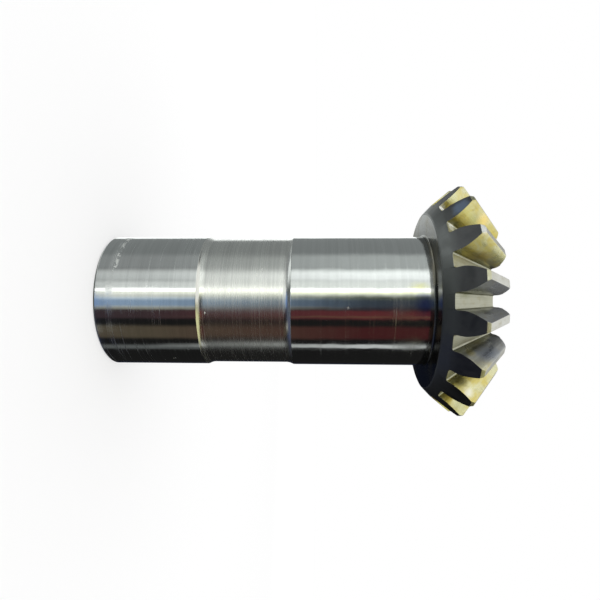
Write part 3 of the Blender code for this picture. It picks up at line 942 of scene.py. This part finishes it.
# What the steel mirrors: three rings of soft upright cards, one over the other. The middle one also
# runs behind the other two. Azimuths run in degrees from the camera's side (0) towards -X.
# Each card: centre, half width, softness, light at the bottom of the ring's span, light at its top,
# or one light for both.
mirrorRings = {
    "lower": {
        "radius": 0.78, "wall": (-0.55, -0.36), "span": (-0.55, -0.36), "base": (0.035, 0.04, 0.06),
        "cards": {
            "greyCard": (100, 78, 8, (0.27, 0.29, 0.28)),
            "webCard": (126, 15, 8, (0.50, 0.52, 0.52)),
            "blueCard": (1, 13, 5, (0.14, 0.28, 0.64)),
            "paleCard": (-52, 8, 4, (0.42, 0.43, 0.37)),
            "lowBlueCard": (-75, 6, 3, (0.0, 0.02, 0.08)),
            "rearCard": (212, 24, 10, (0.26, 0.27, 0.26)),
        },
    },
    "middle": {
        "radius": 0.80, "wall": (-0.55, 1.0), "span": (-0.26, 0.17), "base": (0.014, 0.014, 0.014),
        "cards": {
            "backCard": (160, 11, 5, (1.50, 1.56, 1.54)),
            "navyCard": (196, 14, 4, (0.0, 0.004, 0.02)),
            "greyCard": (101, 47, 8, (0.25, 0.27, 0.27), (0.26, 0.28, 0.28)),
            "paleCard": (66, 20, 7, (0.09, 0.09, 0.09), (0.28, 0.30, 0.29)),
            "softBox": (31.5, 22, 5, (0.56, 0.59, 0.58), (1.04, 1.09, 1.07)),
            "softBoxEdge": (42, 6, 3, (0.15, 0.16, 0.16), (0.34, 0.35, 0.35)),
            "softBoxMiddle": (25, 7, 4, (0.34, 0.35, 0.34), (0.10, 0.11, 0.08)),
            "stripLight": (17.8, 2.6, 1.2, (1.90, 1.90, 1.85), (1.90, 1.90, 1.75)),
            "goldFringe": (13.2, 1.9, 1.2, (0.10, 0.10, 0.02), (0.46, 0.48, 0.03)),
            "creamFringe": (9, 6, 4, (0.74, 0.76, 0.68), (0.06, 0.07, 0.02)),
            "blueCard": (-2.5, 8, 3, (0.32, 0.45, 0.62), (0.035, 0.05, 0.07)),
            "blueCardEdge": (-12.5, 3, 1.5, (0.38, 0.38, 0.32), (0.02, 0.02, 0.03)),
            "redCard": (-24, 7.5, 2, (0.045, 0.025, 0.030), (0.13, 0.018, 0.022)),
            "tanCard": (-27.8, 1.4, 0.6, (0.0, 0.0, 0.0), (0.03, 0.05, 0.018)),
            "brownCard": (-57, 12, 4, (0.095, 0.075, 0.048), (0.060, 0.005, 0.006)),
            "edgeStrip": (-85.0, 4.2, 1.2, (0.0, 0.0, 0.0), (0.72, 0.75, 0.74)),
            "lowEdgeStrip": (-90, 5, 3, (0.13, 0.14, 0.14), (0.0, 0.0, 0.0)),
        },
    },
    "upper": {
        "radius": 0.78, "wall": (0.36, 1.0), "span": (0.36, 1.0), "base": (0.07, 0.072, 0.076),
        "cards": {
            "lightCard": (32, 38, 9, (1.05, 1.06, 1.02)),
            "creamCard": (-50, 36, 20, (0.80, 0.79, 0.40)),
            "rearCard": (180, 55, 10, (0.02, 0.02, 0.02), (0.32, 0.32, 0.33)),
        },
    },
}
rimSegments = 96  # of the rings, the mirrored ground and the floor


def makeCard():  # light of one soft-edged upright card of the surrounding wall
    group, given, result = makeGroup("upright card", {
        "Azimuth": "value", "Height": "value", "Centre": "value", "Half Width": "value", "Softness": "value",
        "Low Light": "colour", "High Light": "colour", "Others": "colour"}, {"Light": "colour"})
    offset = calc(group, "SUBTRACT", given["Azimuth"], given["Centre"])
    away = calc(group, "ABSOLUTE", calc(group, "WRAP", offset, 180.0, -180.0))
    inner = calc(group, "SUBTRACT", given["Half Width"], given["Softness"])
    outer = calc(group, "ADD", given["Half Width"], given["Softness"])
    light = blend(group, given["Height"], given["Low Light"], given["High Light"])
    total = blend(group, ramp(group, away, outer, inner), given["Others"], light, "ADD")
    feed(group, result["Light"], total)
    return group


def shineInMirrors(thing, material, light):  # seen by nothing but the steel's reflections
    tree = material.node_tree
    glow = addNode(tree, "ShaderNodeEmission", inputs={"Color": light})
    feed(tree, tree.nodes["Material Output"].inputs["Surface"], glow.outputs[0])
    tree.nodes.remove(tree.nodes["Principled BSDF"])
    thing.data.materials.append(material)
    thing.visible_camera = False
    thing.visible_diffuse = False
    thing.visible_shadow = False


def makeMirrorRing(name, card):  # a ring of cards that only the steel's reflections see
    ring = mirrorRings[name]
    bottom, top = ring["wall"]
    shape = bmesh.new()
    rim = bmesh.ops.create_circle(shape, radius=ring["radius"], segments=rimSegments)
    bmesh.ops.translate(shape, verts=rim["verts"], vec=(0, 0, bottom))
    wall = bmesh.ops.extrude_edge_only(shape, edges=shape.edges[:])
    raised = [part for part in wall["geom"] if isinstance(part, bmesh.types.BMVert)]
    bmesh.ops.translate(shape, verts=raised, vec=(0, 0, top - bottom))
    thing = newObject(name + "_mirror_ring", shape)
    material, tree, _ = newMaterial(name + "MirrorRing")
    axes = splitAxes(tree, objectPlace(tree))
    backwards = [calc(tree, "MULTIPLY", axis, -1.0) for axis in axes[:2]]
    azimuth = calc(tree, "DEGREES", calc(tree, "ARCTAN2", *backwards))
    low, high = ring["span"]
    span = {"Value": axes[2], "From Min": low, "From Max": high}
    height = addNode(tree, "ShaderNodeMapRange", inputs=span).outputs[0]
    light = ring["base"]
    for centre, halfWidth, softness, *lights in ring["cards"].values():
        light = use(tree, card, Azimuth=azimuth, Height=height, Centre=centre, Half_Width=halfWidth,
                    Softness=softness, Low_Light=lights[0], High_Light=lights[-1], Others=light)[0]
    shineInMirrors(thing, material, light)


ground = {
    "radius": 0.78,
    "height": -0.55,
    "lightReach": (-0.60, -0.20),
    "darkReach": (0.0, 0.45),
    "lightSide": (1.32, 1.40, 1.40),
    "middle": (0.11, 0.125, 0.12),
    "darkSide": (0.10, 0.115, 0.19),
}


def makeMirroredGround():  # what the web and the teeth's heels mirror, from light at -X to dark at +X
    shape = bmesh.new()
    disc = bmesh.ops.create_circle(shape, cap_ends=True, radius=ground["radius"], segments=rimSegments)
    bmesh.ops.translate(shape, verts=disc["verts"], vec=(0, 0, ground["height"]))
    thing = newObject("mirrored_ground", shape)
    material, tree, _ = newMaterial("mirroredGround")
    across = splitAxes(tree, objectPlace(tree))[0]
    light = blend(tree, ramp(tree, across, *ground["lightReach"]), ground["lightSide"], ground["middle"])
    light = blend(tree, ramp(tree, across, *ground["darkReach"]), light, ground["darkSide"])
    shineInMirrors(thing, material, light)


def mixShaders(tree, share, first, second, output):
    mixed = addNode(tree, "ShaderNodeMixShader", inputs={0: share, 1: first, 2: second})
    feed(tree, tree.nodes[output].inputs["Surface"], mixed.outputs[0])


floorLook = {
    "radius": 6.0,
    "colour": (0.9, 0.9, 0.9),
    "rough": 0.9,
    "glow": 0.55,  # share of plain white in what the camera sees
}


def makeFloor():
    shape = bmesh.new()
    bmesh.ops.create_circle(shape, cap_ends=True, radius=floorLook["radius"], segments=rimSegments)
    floor = newObject("studio_floor", shape)
    material, tree, surface = newMaterial("pale floor")
    feed(tree, surface.inputs["Base Color"], floorLook["colour"])
    feed(tree, surface.inputs["Roughness"], floorLook["rough"])
    seen = addNode(tree, "ShaderNodeLightPath").outputs["Is Camera Ray"]
    share = calc(tree, "MULTIPLY", seen, floorLook["glow"])
    glow = addNode(tree, "ShaderNodeEmission").outputs[0]
    mixShaders(tree, share, surface.outputs[0], glow, "Material Output")
    floor.data.materials.append(material)
    floor.visible_glossy = False


studioLight = {"colour": (1, 1, 1), "onSteel": 1.15, "behind": 1.0}


def makeWorld():  # white behind everything, and an even light from all round
    world = bpy.data.worlds.new("studio")
    bpy.context.scene.world = world
    world.use_nodes = True
    tree = world.node_tree
    ambient = tree.nodes["Background"]
    feed(tree, ambient.inputs["Color"], studioLight["colour"])
    feed(tree, ambient.inputs["Strength"], studioLight["onSteel"])
    inputs = {"Color": studioLight["colour"], "Strength": studioLight["behind"]}
    white = addNode(tree, "ShaderNodeBackground", inputs=inputs)
    path = addNode(tree, "ShaderNodeLightPath").outputs
    seen = calc(tree, "MAXIMUM", path["Is Camera Ray"], path["Is Glossy Ray"])
    seen = calc(tree, "MAXIMUM", seen, path["Is Transmission Ray"])
    mixShaders(tree, seen, ambient.outputs[0], white.outputs[0], "World Output")


gear = makeGear()
for finish in finishes:
    gear.data.materials.append(makeFinish(finish, headCorners()))
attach(gear, "root")
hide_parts(gearNode)
print("finishes made")

makeFloor()
mirrorCard = makeCard()
for ringName in mirrorRings:
    makeMirrorRing(ringName, mirrorCard)
makeMirroredGround()
makeWorld()
placeCamera()
bpy.context.scene.view_settings.view_transform = "Standard"
print("studio set")
